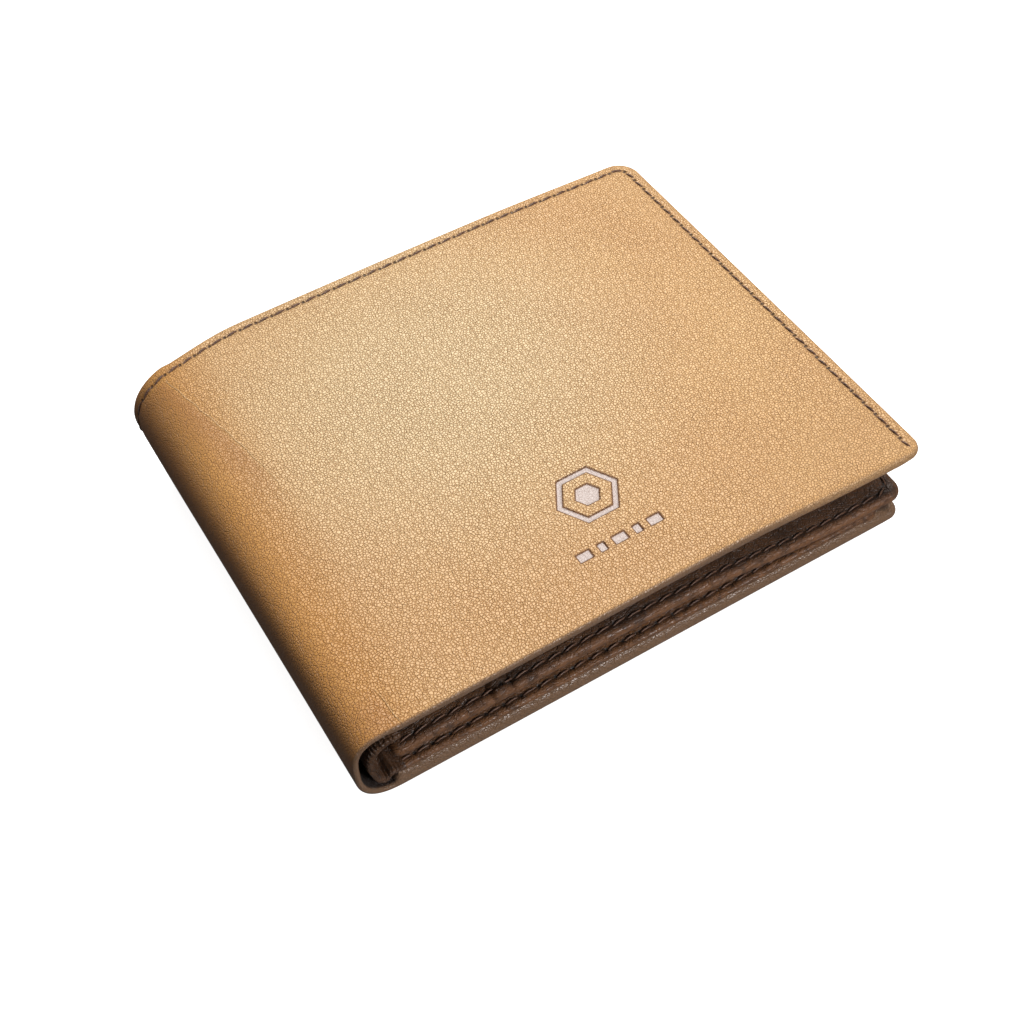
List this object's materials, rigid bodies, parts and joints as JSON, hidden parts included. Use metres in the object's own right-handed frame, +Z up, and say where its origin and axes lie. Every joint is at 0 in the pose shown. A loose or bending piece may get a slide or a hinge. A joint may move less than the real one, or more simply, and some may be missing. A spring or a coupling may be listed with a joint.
{
  "type": "bifold wallet",
  "caption": "Closed bifold wallet in tan leather with a half-round soft spine, stitched edges, a note compartment, card pockets in both halves and a hinged centre flap with a clear window.",
  "frame": {"origin": "centre of the closed wallet's footprint, on the surface it lies on", "axes": "+X from the spine to the fore edge, +Y from the open long side to the sewn long side, +Z up through the thickness, back cover down"},
  "size_m": [0.12, 0.1, 0.019],
  "materials": {
    "tan_leather": "pebble grain, satin",
    "brown_leather": "fine grain, satin",
    "pocket_leather": "fine grain, satin",
    "lining_cloth": "plain weave",
    "board": "matte",
    "thread": "waxed",
    "clear_film": "clear gloss"
  },
  "bodies": {
    "back_half": {"back_cover_leather": "tan_leather", "back_cover_board": "board", "back_note_lining": "lining_cloth", "back_cover_stitching": "thread", "back_inner_body": "brown_leather", "back_inner_stitching": "thread", "back_card_pocket_1": "pocket_leather", "back_card_pocket_2": "pocket_leather", "back_card_pocket_3": "pocket_leather", "back_pocket_stitching": "thread", "flap_hinge_web": "brown_leather"},
    "spine": {"spine_leather": "tan_leather", "spine_stiffener": "board", "spine_stitching": "thread", "spine_bridge_lining": "pocket_leather"},
    "front_half": {"front_cover_leather": "tan_leather", "front_cover_board": "board", "front_note_lining": "lining_cloth", "front_cover_stitching": "thread", "front_inner_body": "brown_leather", "front_inner_stitching": "thread", "front_card_pocket_1": "pocket_leather", "front_card_pocket_2": "pocket_leather", "front_card_pocket_3": "pocket_leather", "front_pocket_stitching": "thread"},
    "centre_flap": {"flap_hinge_fold": "brown_leather", "flap_upper_face": "brown_leather", "flap_core_board": "board", "flap_lower_face": "brown_leather", "flap_window_film": "clear_film", "flap_stitching": "thread", "flap_underside_stitching": "thread"}
  },
  "joints": [
    {"name": "spine_fold", "type": "hinge", "parent": "back_half", "child": "spine", "pos_m": [-0.05561, 0, 0.00055], "axis": [0, -1, 0], "range_deg": [0, 90]},
    {"name": "front_fold", "type": "hinge", "parent": "spine", "child": "front_half", "pos_m": [-0.05561, 0, 0.01845], "axis": [0, -1, 0], "range_deg": [0, 90]},
    {"name": "flap_turn", "type": "hinge", "parent": "back_half", "child": "centre_flap", "pos_m": [-0.0495, 0, 0.0095], "axis": [0, -1, 0], "range_deg": [0, 180]}
  ],
  "couplings": [
    {"joint": "front_fold", "follows": "spine_fold", "ratio": 1},
    {"joint": "flap_turn", "follows": "spine_fold", "ratio": 2}
  ]
}
